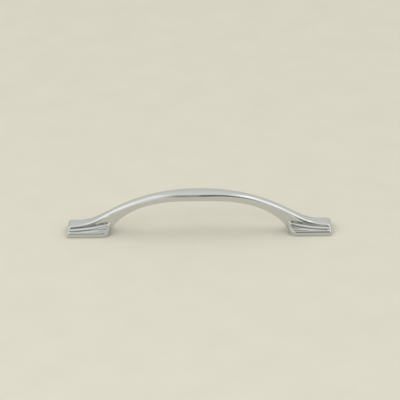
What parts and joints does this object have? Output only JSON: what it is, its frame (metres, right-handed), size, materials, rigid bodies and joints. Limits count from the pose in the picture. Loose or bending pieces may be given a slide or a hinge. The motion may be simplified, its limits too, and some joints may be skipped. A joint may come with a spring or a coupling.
{
  "type": "cabinet handle",
  "caption": "Bow cabinet pull: a crowned arched bar on rimmed, fluted feet with round inner noses and square heels, bright chrome, with blind screw threads in the flat bases.",
  "frame": {"origin": "middle of the mounting plane, midway between the two screw holes, on the flat bases of the feet", "axes": "+X along the handle from foot to foot, +Y across it, +Z away from the cabinet face towards the top of the bow"},
  "size_m": [0.1538, 0.016, 0.0262],
  "materials": {
    "chrome_plate": "bright chrome plating on a polished die-cast zinc alloy body"
  },
  "bodies": {
    "root": {"bow_handle": "chrome_plate"}
  },
  "joints": []
}
